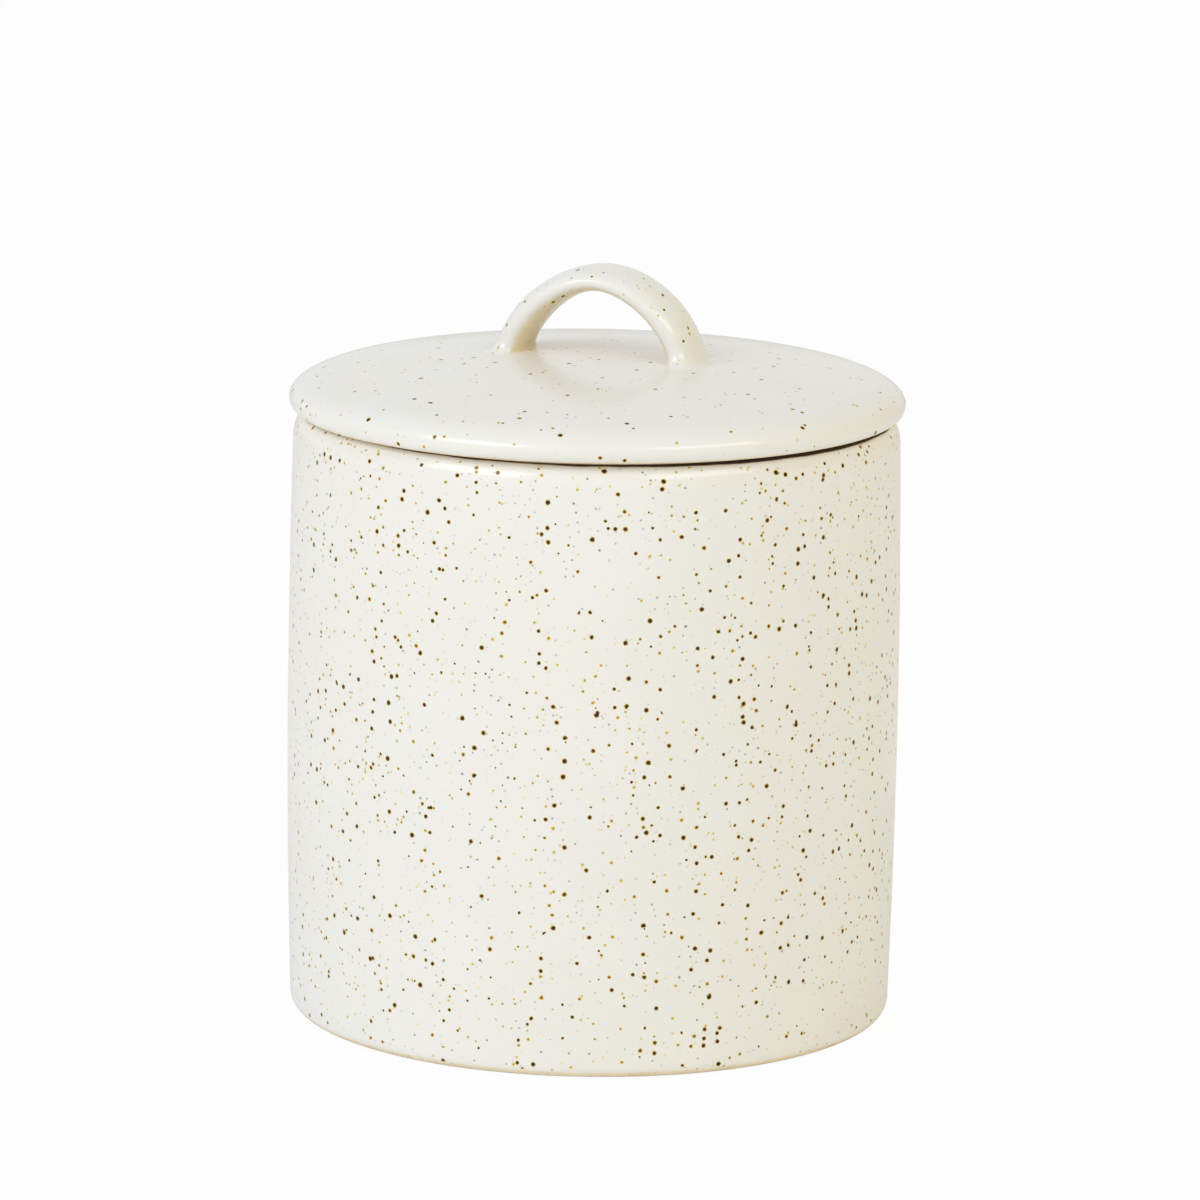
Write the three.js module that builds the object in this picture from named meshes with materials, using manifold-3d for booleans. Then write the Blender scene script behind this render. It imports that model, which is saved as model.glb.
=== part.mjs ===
// A lidded stoneware jar: a straight-sided body, a domed lid with a locating flange,
// and a pulled strap handle luted over the middle of the lid.
// Millimetres, +Z up. The origin is on the jar's axis, in the plane of the foot ring.
import * as THREE from 'three';
import { mergeVertices } from 'three/addons/utils/BufferGeometryUtils.js';
import Module from 'manifold-3d';

// Body of the jar
const JAR_RADIUS = 60; // outside, at the rim and at the foot
const JAR_HEIGHT = 121; // foot ring to the rim that carries the lid
const BARREL = 0.87; // swelling of the wall at half height
const WALL = 5.6;
const FLOOR = 5.8; // over the recess under the foot
const INNER_CORNER = 9; // cove between floor and wall
const SHOULDER_DROP = 5.8; // height of the round shoulder under the rim
const RIM_LAND = 0.9; // flat ring that the lid rests on
const LIP_ROUND = 0.9; // inner edge of the rim

// Foot of the jar
const FOOT_ROUND = 2.5; // outer corner between foot and wall
const FOOT_RING_WIDTH = 5;
const FOOT_RING_EASE = 0.8; // rounded inner edge of the foot ring
const FOOT_RECESS = 2; // hollow under the floor, so that the jar stands on a ring
const FOOT_RECESS_SLOPE = 1.6; // how far the side of the recess leans inwards

// Lid
const LID_OVERHANG = 1; // past the body's outside
const LID_EDGE_HEIGHT = 2.2; // rim plane to the lid's widest line
const LID_UNDERCUT = 1.5; // lower corner, from the widest line in to the flat underside
const LID_SHOULDER_WIDTH = 12.9; // round upper edge, inwards
const LID_SHOULDER_RISE = 5.3; // round upper edge, upwards
const LID_DOME_SLOPE = 0.166; // slope where the round edge runs into the dome
const LID_THICKNESS = 5.4; // through the dome, upright

// Locating flange under the lid
const FLANGE_DEPTH = 7.5; // below the rim plane
const FLANGE_WALL = 4;
const FLANGE_CLEARANCE = 1; // all round, to the mouth of the jar
const FLANGE_TAPER = 0.5; // how much slimmer the flange is at its lower end
const FLANGE_EASE = 1.2; // rounded lower edges
const FLANGE_ROOT = 0.8; // fillet between flange and seat
const RECESS_CORNER = 3; // fillet between flange and the recess over it

// Strap handle
const HANDLE_HALF_SPAN = 18.2; // half the way from the middle of one foot to the other
const HANDLE_OFF_CENTRE = 0.5; // the strap is set by eye, a little past the middle of the lid
const HANDLE_RISE = 15.7; // lid at the feet to the middle of the strap at its top
const HANDLE_ARCH_POWER = 1.68; // 2 is an ellipse, less is more pointed
const HANDLE_ROOT = 0.8; // length of leg trimmed off to the curve of the lid
const HANDLE_THICKNESS_TOP = 4.5;
const HANDLE_THICKNESS_FOOT = 6;
const HANDLE_WIDTH_TOP = 14;
const HANDLE_WIDTH_FOOT = 13.4;
const HANDLE_OUTER_POWER = 2; // roundness of the section's outer half, 2 is an ellipse
const HANDLE_INNER_POWER = 2.7; // the inner half is flatter
const FOOT_FLARE_HEIGHT = 3.3; // smoothed clay round each foot
const FOOT_FLARE_REACH = 1.3;
const SLIP_GAP = 0.3; // layer of slip between the feet and the lid

// Fineness
const ROUND_SEGMENTS = 64;
const CORNER_STEPS = 4;
const CURVE_STEPS = 7;
const HANDLE_STATIONS = 40;
const HANDLE_SECTION_POINTS = 16;
const TANGENT_REACH = 0.25; // part of a station, to either side, that gives the strap's direction

const GLAZE = { color: 0xeae6da, roughness: 0.34, metalness: 0 };

const MOUTH_RADIUS = JAR_RADIUS - WALL;
const LID_RADIUS = JAR_RADIUS + LID_OVERHANG;
const FLANGE_RADIUS = MOUTH_RADIUS - FLANGE_CLEARANCE;
const RECESS_RADIUS = FLANGE_RADIUS - FLANGE_WALL;

const wasm = await Module();
wasm.setup();

/** Points on an elliptical arc in the (radius, height) plane, angles in degrees. */
function arc(centre, radii, fromAngle, toAngle, steps = CORNER_STEPS) {
  const points = [];
  for (let step = 0; step <= steps; step += 1) {
    const angle = THREE.MathUtils.degToRad(THREE.MathUtils.lerp(fromAngle, toAngle, step / steps));
    const x = centre.x + radii.x * Math.cos(angle);
    const y = centre.y + radii.y * Math.sin(angle);
    points.push(new THREE.Vector2(x, y));
  }
  return points;
}

/** A point in the (radius, height) plane. */
function at(radius, height) {
  return new THREE.Vector2(radius, height);
}

/** Turns a closed (radius, height) profile about the jar's axis. It runs upwards on the outside. */
function revolve(profile) {
  const geometry = new THREE.LatheGeometry(profile, ROUND_SEGMENTS);
  geometry.rotateX(Math.PI / 2);
  return geometry;
}

/** Outside radius of the body's wall at a height. */
function wallRadius(height) {
  const share = height / JAR_HEIGHT;
  return JAR_RADIUS + 4 * BARREL * share * (1 - share);
}

/** Points up or down the wall, at an inset from its outside. */
function wallLine(fromHeight, toHeight, inset) {
  const points = [];
  for (let step = 0; step <= CURVE_STEPS; step += 1) {
    const height = THREE.MathUtils.lerp(fromHeight, toHeight, step / CURVE_STEPS);
    points.push(at(wallRadius(height) - inset, height));
  }
  return points;
}

/** Foot ring and the recess inside it, from the axis outwards to the foot's outer corner. */
function footProfile() {
  const ringOuter = wallRadius(FOOT_ROUND) - FOOT_ROUND;
  const ringInner = ringOuter - FOOT_RING_WIDTH;
  return [
    at(0, FOOT_RECESS),
    at(ringInner - FOOT_RECESS_SLOPE, FOOT_RECESS),
    ...arc(at(ringInner + FOOT_RING_EASE, FOOT_RING_EASE), at(FOOT_RING_EASE, FOOT_RING_EASE), 180, 270),
    ...arc(at(ringOuter, FOOT_ROUND), at(FOOT_ROUND, FOOT_ROUND), -90, 0),
  ];
}

/** Shoulder, flat land and rounded lip, from the outer wall over to the mouth. */
function rimProfile() {
  const shoulderStart = JAR_HEIGHT - SHOULDER_DROP;
  const landOuter = MOUTH_RADIUS + LIP_ROUND + RIM_LAND;
  const shoulderWidth = wallRadius(shoulderStart) - landOuter;
  const lipCentre = at(MOUTH_RADIUS + LIP_ROUND, JAR_HEIGHT - LIP_ROUND);
  return [
    ...arc(at(landOuter, shoulderStart), at(shoulderWidth, SHOULDER_DROP), 0, 90, CURVE_STEPS),
    ...arc(lipCentre, at(LIP_ROUND, LIP_ROUND), 90, 180),
  ];
}

/** The open body: foot, barrelled wall, rim and the hollow inside. */
function jarBody() {
  const floorTop = FOOT_RECESS + FLOOR;
  const coveTop = floorTop + INNER_CORNER;
  const coveOuter = wallRadius(coveTop) - WALL;
  return revolve([
    ...footProfile(),
    ...wallLine(FOOT_ROUND, JAR_HEIGHT - SHOULDER_DROP, 0).slice(1, -1),
    ...rimProfile(),
    ...wallLine(JAR_HEIGHT - LIP_ROUND, coveTop, WALL).slice(1, -1),
    ...arc(at(coveOuter - INNER_CORNER, coveTop), at(INNER_CORNER, INNER_CORNER), 0, -90, CURVE_STEPS),
    at(0, floorTop),
  ]);
}

/** Where the lid's round edge hands over to the dome: the angle on the edge, and its radius and height. */
function domeSpring() {
  const angle = Math.atan2(LID_SHOULDER_RISE, LID_DOME_SLOPE * LID_SHOULDER_WIDTH);
  const radius = LID_RADIUS - LID_SHOULDER_WIDTH * (1 - Math.cos(angle));
  const height = JAR_HEIGHT + LID_EDGE_HEIGHT + LID_SHOULDER_RISE * Math.sin(angle);
  return { degrees: THREE.MathUtils.radToDeg(angle), radius, height };
}

/** Height of the dome at a radius. Its slope grows evenly from the axis outwards. */
function domeHeight(radius) {
  const spring = domeSpring();
  const crown = spring.height + (LID_DOME_SLOPE * spring.radius) / 2;
  return crown - (LID_DOME_SLOPE * radius ** 2) / (2 * spring.radius);
}

/** Points along the dome between two radii, lowered by a depth. */
function domeLine(fromRadius, toRadius, depth) {
  const points = [];
  for (let step = 0; step <= CURVE_STEPS; step += 1) {
    const radius = THREE.MathUtils.lerp(fromRadius, toRadius, step / CURVE_STEPS);
    points.push(at(radius, domeHeight(radius) - depth));
  }
  return points;
}

/** The flange that centres the lid in the mouth, from the recess down, round and up to the seat. */
function flangeProfile() {
  const bottom = JAR_HEIGHT - FLANGE_DEPTH;
  const corner = at(FLANGE_EASE, FLANGE_EASE);
  const innerEdge = at(RECESS_RADIUS + FLANGE_EASE, bottom + FLANGE_EASE);
  const outerEdge = at(FLANGE_RADIUS - FLANGE_TAPER - FLANGE_EASE, bottom + FLANGE_EASE);
  const root = at(FLANGE_RADIUS + FLANGE_ROOT, JAR_HEIGHT - FLANGE_ROOT);
  return [
    ...arc(innerEdge, corner, 180, 270),
    ...arc(outerEdge, corner, -90, 0),
    ...arc(root, at(FLANGE_ROOT, FLANGE_ROOT), 180, 90),
  ];
}

/** The lid: recess, flange, flat seat, rounded edge and dome. */
function lid() {
  const spring = domeSpring();
  const cornerRadius = RECESS_RADIUS - RECESS_CORNER;
  const cornerHeight = domeHeight(cornerRadius) - LID_THICKNESS - RECESS_CORNER;
  const edgeHeight = JAR_HEIGHT + LID_EDGE_HEIGHT;
  const lowerEdge = at(LID_RADIUS - LID_UNDERCUT, edgeHeight);
  const upperEdge = at(LID_RADIUS - LID_SHOULDER_WIDTH, edgeHeight);
  const upperRadii = at(LID_SHOULDER_WIDTH, LID_SHOULDER_RISE);
  return revolve([
    ...domeLine(0, cornerRadius, LID_THICKNESS).slice(0, -1),
    ...arc(at(cornerRadius, cornerHeight), at(RECESS_CORNER, RECESS_CORNER), 90, 0),
    ...flangeProfile(),
    ...arc(lowerEdge, at(LID_UNDERCUT, LID_EDGE_HEIGHT), -90, 0),
    ...arc(upperEdge, upperRadii, 0, spring.degrees, CURVE_STEPS).slice(1),
    ...domeLine(spring.radius, 0, 0).slice(1),
  ]);
}

/** Sign and power together, for superellipses. */
function signedPower(value, power) {
  return Math.sign(value) * Math.abs(value) ** power;
}

/** The strap's middle line: a pointed arch from the left foot (share 0) to the right foot (share 1). */
function archPoint(share) {
  const angle = Math.PI * (1 - share);
  const base = domeHeight(HANDLE_HALF_SPAN) - HANDLE_ROOT;
  const x = HANDLE_OFF_CENTRE + HANDLE_HALF_SPAN * signedPower(Math.cos(angle), 2 / HANDLE_ARCH_POWER);
  const z = base + (HANDLE_RISE + HANDLE_ROOT) * Math.max(Math.sin(angle), 0) ** (2 / HANDLE_ARCH_POWER);
  return new THREE.Vector3(x, 0, z);
}

/** How far the smoothed clay stands out from the strap at a height over the lid. */
function footFlare(heightOverLid) {
  const depth = THREE.MathUtils.clamp(1 - heightOverLid / FOOT_FLARE_HEIGHT, 0, 1);
  return FOOT_FLARE_REACH * (1 - Math.sqrt(1 - depth ** 2));
}

/** One oval section of the strap, square to the arch. */
function strapSection(share) {
  const nudge = TANGENT_REACH / HANDLE_STATIONS;
  const middle = archPoint(share);
  const before = archPoint(Math.max(share - nudge, 0));
  const after = archPoint(Math.min(share + nudge, 1));
  const along = after.sub(before).normalize();
  const outward = new THREE.Vector3(-along.z, 0, along.x);
  const sideways = new THREE.Vector3().crossVectors(along, outward);
  const heightOverLid = middle.z - domeHeight(middle.x);
  const down = THREE.MathUtils.clamp(1 - heightOverLid / HANDLE_RISE, 0, 1);
  const flare = footFlare(Math.max(heightOverLid, 0));
  const halfThickness = THREE.MathUtils.lerp(HANDLE_THICKNESS_TOP, HANDLE_THICKNESS_FOOT, down) / 2 + flare;
  const halfWidth = THREE.MathUtils.lerp(HANDLE_WIDTH_TOP, HANDLE_WIDTH_FOOT, down) / 2 + flare;
  const ring = [];
  for (let index = 0; index < HANDLE_SECTION_POINTS; index += 1) {
    const angle = (2 * Math.PI * index) / HANDLE_SECTION_POINTS;
    const power = Math.cos(angle) > 0 ? HANDLE_OUTER_POWER : HANDLE_INNER_POWER;
    const out = halfThickness * signedPower(Math.cos(angle), 2 / power);
    const across = halfWidth * signedPower(Math.sin(angle), 2 / power);
    ring.push(middle.clone().addScaledVector(outward, out).addScaledVector(sideways, across));
  }
  return ring;
}

/** A closed skin over a row of sections with the same number of points, and a flat cap at each end. */
function loft(sections) {
  const count = sections[0].length;
  const positions = sections.flat().flatMap((point) => point.toArray());
  const faces = [];
  for (let row = 0; row + 1 < sections.length; row += 1) {
    for (let index = 0; index < count; index += 1) {
      const next = (index + 1) % count;
      const [a, b] = [row * count + index, row * count + next];
      const [c, d] = [a + count, b + count];
      faces.push(a, b, c, b, d, c);
    }
  }
  const lastRow = (sections.length - 1) * count;
  for (let index = 1; index + 1 < count; index += 1) {
    faces.push(0, index + 1, index);
    faces.push(lastRow, lastRow + index, lastRow + index + 1);
  }
  const geometry = new THREE.BufferGeometry();
  geometry.setAttribute('position', new THREE.Float32BufferAttribute(positions, 3));
  geometry.setIndex(faces);
  return geometry;
}

/** A solid that can be joined and cut, from a closed geometry. */
function toSolid(geometry) {
  const bare = geometry.clone();
  bare.deleteAttribute('normal');
  bare.deleteAttribute('uv');
  const merged = mergeVertices(bare);
  const corners = merged.index.array;
  const kept = [];
  for (let start = 0; start < corners.length; start += 3) {
    const [a, b, c] = corners.slice(start, start + 3);
    if (a !== b && b !== c && c !== a) {
      kept.push(a, b, c);
    }
  }
  const vertProperties = new Float32Array(merged.attributes.position.array);
  return new wasm.Manifold(new wasm.Mesh({ numProp: 3, vertProperties, triVerts: new Uint32Array(kept) }));
}

/** A geometry from a solid. */
function toGeometry(solid) {
  const { vertProperties, triVerts } = solid.getMesh();
  const geometry = new THREE.BufferGeometry();
  geometry.setAttribute('position', new THREE.BufferAttribute(new Float32Array(vertProperties), 3));
  geometry.setIndex(new THREE.BufferAttribute(new Uint32Array(triVerts), 1));
  geometry.computeVertexNormals();
  return geometry;
}

/** The lid's dome with the layer of slip on it, as a block to trim the handle's feet with. */
function domeBlock() {
  const reach = domeSpring().radius;
  return revolve([
    at(0, JAR_HEIGHT),
    at(reach, JAR_HEIGHT),
    ...domeLine(reach, 0, -SLIP_GAP),
  ]);
}

/** The strap handle, its feet trimmed to the curve of the lid. */
function lidHandle() {
  const sections = [];
  for (let station = 0; station <= HANDLE_STATIONS; station += 1) {
    sections.push(strapSection(station / HANDLE_STATIONS));
  }
  const strap = toSolid(loft(sections));
  return toGeometry(strap.subtract(toSolid(domeBlock())));
}

/** A named piece in the glaze's colour. */
function piece(name, geometry) {
  const mesh = new THREE.Mesh(geometry, new THREE.MeshStandardMaterial(GLAZE));
  mesh.name = name;
  return mesh;
}

const lidWithHandle = new THREE.Group();
lidWithHandle.add(piece('lid', lid()), piece('lid_handle', lidHandle()));

const jar = new THREE.Group();
jar.add(piece('jar_body', jarBody()), lidWithHandle);

export default jar;
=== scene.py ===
"""The looks of a lidded stoneware jar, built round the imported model, in metres and in its frame.

Three smooth pieces stand for its three solids: the thrown body, the domed lid and the pulled strap handle.
They wear one speckled satin glaze over a buff clay, which stays bare where the ware stood in the kiln.
"""
import logging
import math
from collections.abc import Callable, Iterable, Mapping
from dataclasses import dataclass, field
from enum import Enum
from itertools import pairwise

import bmesh
import bpy
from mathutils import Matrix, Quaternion, Vector


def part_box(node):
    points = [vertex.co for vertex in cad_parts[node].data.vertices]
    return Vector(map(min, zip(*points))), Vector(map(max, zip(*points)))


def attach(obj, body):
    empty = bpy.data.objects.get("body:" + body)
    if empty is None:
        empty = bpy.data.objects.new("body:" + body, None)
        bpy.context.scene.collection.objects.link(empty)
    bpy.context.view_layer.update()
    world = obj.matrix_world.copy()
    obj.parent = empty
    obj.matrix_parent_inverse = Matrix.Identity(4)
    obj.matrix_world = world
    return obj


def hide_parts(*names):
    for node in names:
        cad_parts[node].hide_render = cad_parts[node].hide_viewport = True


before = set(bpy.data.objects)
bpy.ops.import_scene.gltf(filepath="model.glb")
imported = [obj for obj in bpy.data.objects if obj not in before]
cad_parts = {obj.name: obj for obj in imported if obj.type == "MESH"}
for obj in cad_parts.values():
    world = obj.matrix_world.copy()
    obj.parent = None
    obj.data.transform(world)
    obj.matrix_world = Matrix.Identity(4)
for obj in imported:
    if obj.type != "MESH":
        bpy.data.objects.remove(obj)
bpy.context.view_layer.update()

MM = 0.001
QUARTER = math.pi / 2
WELD = 0.001 * MM

Colour = tuple[float, float, float]
Triple = tuple[float, float, float]
Ramp = tuple[tuple[float, Colour], ...]
Settings = Mapping[str, object]
Feeds = Mapping[str | int, object]
Socket = bpy.types.NodeSocket
Surface = Mapping[str, Socket]
Piece = bpy.types.Object

WHITE: Colour = (1.0, 1.0, 1.0)
BLACK: Colour = (0.0, 0.0, 0.0)

# The values of a noise lie mostly inside the first pair, and about half of them inside the second.
NOISE_RANGE = (0.3, 0.7)
NOISE_MIDDLE = (0.35, 0.65)


class Body(Enum):
    """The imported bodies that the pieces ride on."""

    JAR = "jar"
    LID = "lid_assembly"


class Node(Enum):
    """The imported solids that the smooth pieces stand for."""

    BODY = "jar_body"
    LID = "lid"
    HANDLE = "lid_handle"


class Slot(Enum):
    """The record's finishes."""

    BODY = "body_glaze"
    LID = "lid_glaze"
    HANDLE = "handle_glaze"


class SocketKind(Enum):
    """What a node group's socket carries."""

    NUMBER = "NodeSocketFloat"
    COLOUR = "NodeSocketColor"
    PLACE = "NodeSocketVector"


SURFACE = {"Colour": SocketKind.COLOUR, "Roughness": SocketKind.NUMBER, "Height": SocketKind.NUMBER}


def smooth_step(low: float, high: float, value: float) -> float:
    """Rises softly from 0 at low to 1 at high.

    Args:
        low: The value where the rise starts.
        high: The value where it ends.
        value: The value to place on it.

    Returns:
        A share from 0 to 1.
    """
    share = min(max((value - low) / (high - low), 0.0), 1.0)
    return share * share * (3 - 2 * share)


def bow(share: float) -> float:
    """Gives how far a shallow bow stands out at a share of its length: 0 at both ends, 1 half way."""
    return 4 * share * (1 - share)


def depth_share(over: float, height: float) -> float:
    """Gives how deep a place lies in a layer: 1 at its bottom or below, 0 at its height or above."""
    return min(max(1 - over / height, 0.0), 1.0)


@dataclass
class Outline:
    """A line in the plane of radius (x) and height (y), from which a round piece is turned."""

    points: list[Vector] = field(default_factory=list)

    def to(self, radius: float, height: float) -> "Outline":
        """Goes straight to a point, unless the line is already there.

        Args:
            radius: The point's distance from the jar's axis.
            height: Its height.

        Returns:
            The outline.
        """
        point = Vector((radius, height))
        if not self.points or (point - self.points[-1]).length > WELD:
            self.points.append(point)
        return self

    def arc(self, centre: Vector, radii: Vector, start: float, end: float, steps: int) -> "Outline":
        """Goes round a quarter or less of an ellipse.

        Args:
            centre: Its centre.
            radii: Its half width and half height.
            start: The first angle, in degrees from the outward direction.
            end: The last angle.
            steps: How many chords it takes.

        Returns:
            The outline.
        """
        for step in range(steps + 1):
            angle = math.radians(start + (end - start) * step / steps)
            self.to(centre.x + radii.x * math.cos(angle), centre.y + radii.y * math.sin(angle))
        return self

    def round(self, centre: Vector, radius: float, start: float, end: float, steps: int) -> "Outline":
        """Goes round a quarter or less of a circle, as arc does, and returns the outline."""
        return self.arc(centre, Vector((radius, radius)), start, end, steps)

    def follow(self, curve: Callable[[float], Vector], start: float, end: float, steps: int) -> "Outline":
        """Follows a curve.

        Args:
            curve: What gives its point at a value of its parameter.
            start: The first value.
            end: The last value.
            steps: How many chords it takes.

        Returns:
            The outline.
        """
        for step in range(steps + 1):
            point = curve(start + (end - start) * step / steps)
            self.to(point.x, point.y)
        return self


def lay_down(name: str) -> Piece:
    """Starts a piece as one small square at the origin, in edit mode.

    Args:
        name: The piece's name.

    Returns:
        The piece, with its square selected.
    """
    bpy.ops.object.select_all(action="DESELECT")
    bpy.ops.mesh.primitive_plane_add(size=MM)
    piece = bpy.context.object
    piece.name = piece.data.name = name
    bpy.ops.object.mode_set(mode="EDIT")
    return piece


def draw_line(name: str, points: list[Vector]) -> Piece:
    """Draws a line edge by edge.

    Args:
        name: The name of the piece that it starts.
        points: Its points, in space.

    Returns:
        The piece, in edit mode, with the line's last point selected.
    """
    piece = lay_down(name)
    bpy.ops.mesh.merge(type="CENTER")
    bpy.ops.transform.translate(value=points[0])
    for here, there in pairwise(points):
        bpy.ops.mesh.extrude_region_move(TRANSFORM_OT_translate={"value": there - here})
    return piece


def close_up(piece: Piece) -> None:
    """Welds a piece, turns its faces outwards and leaves edit mode with smooth shading.

    Args:
        piece: The piece, in edit mode.
    """
    bpy.ops.mesh.select_all(action="SELECT")
    bpy.ops.mesh.remove_doubles(threshold=WELD)
    bpy.ops.mesh.normals_make_consistent(inside=False)
    bpy.ops.object.mode_set(mode="OBJECT")
    bpy.ops.object.shade_smooth()
    logging.info("%s: %d faces", piece.name, len(piece.data.polygons))


@dataclass(frozen=True)
class Wheel:
    """The potter's wheel: it turns outlines into round pieces, a little uneven as thrown clay is."""

    steps: int = 224
    unevenness: float = 0.12 * MM
    unevenness_scale: float = 28 * MM

    def throw(self, name: str, outline: Outline) -> Piece:
        """Draws an outline and spins it about the jar's axis.

        Args:
            name: The piece's name.
            outline: Its profile, from the axis round to the axis again.

        Returns:
            A closed piece.
        """
        piece = draw_line(name, [Vector((point.x, 0, point.y)) for point in outline.points])
        bpy.ops.mesh.select_all(action="SELECT")
        bpy.ops.mesh.spin(steps=self.steps, angle=math.tau, center=(0, 0, 0), axis=(0, 0, 1))
        close_up(piece)
        self.settle(piece)
        return piece

    def settle(self, piece: Piece) -> None:
        """Presses a piece in by a fraction of a millimetre, unevenly, so that its gloss isn't machine made.

        Args:
            piece: The piece, which is the active one.
        """
        cloud = bpy.data.textures.new(piece.name + "_unevenness", "CLOUDS")
        cloud.noise_scale = self.unevenness_scale
        press = piece.modifiers.new("unevenness", "DISPLACE")
        press.texture = cloud
        press.texture_coords = "LOCAL"
        press.strength = self.unevenness
        press.mid_level = 1.0
        bpy.ops.object.modifier_apply(modifier=press.name)


def opaque(colour: Colour) -> tuple[float, float, float, float]:
    """Adds full opacity to a colour."""
    return (*colour, 1.0)


@dataclass
class Bench:
    """A node tree, with short ways to add nodes and to join them."""

    tree: bpy.types.NodeTree

    def put(self, kind: str, settings: Settings | None = None, feeds: Feeds | None = None) -> bpy.types.Node:
        """Adds a node.

        Args:
            kind: Its type.
            settings: Its properties, by name.
            feeds: What goes into its inputs, by their name or number: a value, or a socket to link.

        Returns:
            The node.
        """
        node = self.tree.nodes.new(kind)
        for name, value in (settings or {}).items():
            setattr(node, name, value)
        for name, value in (feeds or {}).items():
            self.feed(node.inputs[name], value)
        return node

    def group(self, tree: bpy.types.NodeTree, feeds: Feeds) -> Mapping[str, Socket]:
        """Adds a node group, and returns its outputs."""
        return self.put("ShaderNodeGroup", {"node_tree": tree, "label": tree.name}, feeds).outputs

    def feed(self, socket: Socket, value: object) -> None:
        """Links a socket to an input, or sets the input to a value.

        Args:
            socket: The input.
            value: The socket or the value.
        """
        if isinstance(value, Socket):
            self.tree.links.new(value, socket)
        else:
            socket.default_value = value

    def maths(self, operation: str, first: object, second: object = 0.0, clamp: bool = False) -> Socket:
        """Joins two numbers by an operation, and returns the result's socket."""
        settings = {"operation": operation, "use_clamp": clamp}
        return self.put("ShaderNodeMath", settings, {0: first, 1: second}).outputs[0]

    def vector(self, operation: str, first: object, second: object = (0.0, 0.0, 0.0)) -> Socket:
        """Joins two vectors by an operation, and returns the result's socket, a number for a dot product."""
        node = self.put("ShaderNodeVectorMath", {"operation": operation}, {0: first, 1: second})
        return node.outputs["Value" if operation == "DOT_PRODUCT" else "Vector"]

    def span(self, value: Socket, low: object, high: object, first: object = 0.0, last: object = 1.0) -> Socket:
        """Maps low to high onto first to last, held at both ends, and returns the result's socket."""
        feeds = {"Value": value, "From Min": low, "From Max": high, "To Min": first, "To Max": last}
        return self.put("ShaderNodeMapRange", feeds=feeds).outputs[0]

    def soft_span(self, value: Socket, low: object, high: object) -> Socket:
        """Rises softly from 0 at low to 1 at high, and returns the result's socket."""
        feeds = {"Value": value, "From Min": low, "From Max": high}
        return self.put("ShaderNodeMapRange", {"interpolation_type": "SMOOTHSTEP"}, feeds).outputs[0]

    def noise(self, vector: Socket, scale: object, detail: float = 2.0) -> bpy.types.Node:
        """Adds a noise with so many lumps to the metre, and returns its node."""
        return self.put("ShaderNodeTexNoise", feeds={"Vector": vector, "Scale": scale, "Detail": detail})

    def grain(self, vector: Socket, size: float, detail: float = 2.0) -> Socket:
        """Adds a noise whose lumps are about one size across, in metres, and returns its number's socket."""
        return self.noise(vector, 1 / size, detail).outputs["Fac"]

    def blend(self, mode: str, factor: object, first: object, second: object) -> Socket:
        """Mixes two colours.

        Args:
            mode: The blend mode.
            factor: How far the second colour counts.
            first: The first colour, or its socket.
            second: The second one.

        Returns:
            The result's socket.
        """
        node = self.put("ShaderNodeMix", {"data_type": "RGBA", "blend_type": mode})
        colours = [socket for socket in node.inputs if socket.type == "RGBA"]
        self.feed(node.inputs["Factor"], factor)
        for socket, colour in zip(colours, (first, second)):
            self.feed(socket, opaque(colour) if isinstance(colour, tuple) else colour)
        return next(socket for socket in node.outputs if socket.type == "RGBA")

    def ramp(self, factor: Socket, stops: Ramp) -> Socket:
        """Turns a number into a colour by a row of stops.

        Args:
            factor: The number.
            stops: The places of the stops and their colours.

        Returns:
            The colour's socket.
        """
        node = self.put("ShaderNodeValToRGB", feeds={"Fac": factor})
        elements = node.color_ramp.elements
        while len(elements) < len(stops):
            elements.new(1.0)
        for element, (position, colour) in zip(elements, stops):
            element.position = position
            element.color = opaque(colour)
        return node.outputs["Color"]


Sockets = Mapping[str, SocketKind]


def start_group(name: str, inputs: Sockets,
                outputs: Sockets) -> tuple[Bench, Mapping[str, Socket], bpy.types.Node]:
    """Makes an empty shader node group.

    Args:
        name: The group's name.
        inputs: The kind of each input, by name.
        outputs: The kind of each output, by name.

    Returns:
        The bench of its tree, the sockets that bring its inputs, and the node that takes its outputs.
    """
    tree = bpy.data.node_groups.new(name, "ShaderNodeTree")
    for label, kind in inputs.items():
        tree.interface.new_socket(name=label, in_out="INPUT", socket_type=kind.value)
    for label, kind in outputs.items():
        tree.interface.new_socket(name=label, in_out="OUTPUT", socket_type=kind.value)
    bench = Bench(tree)
    return bench, bench.put("NodeGroupInput").outputs, bench.put("NodeGroupOutput")


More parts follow.
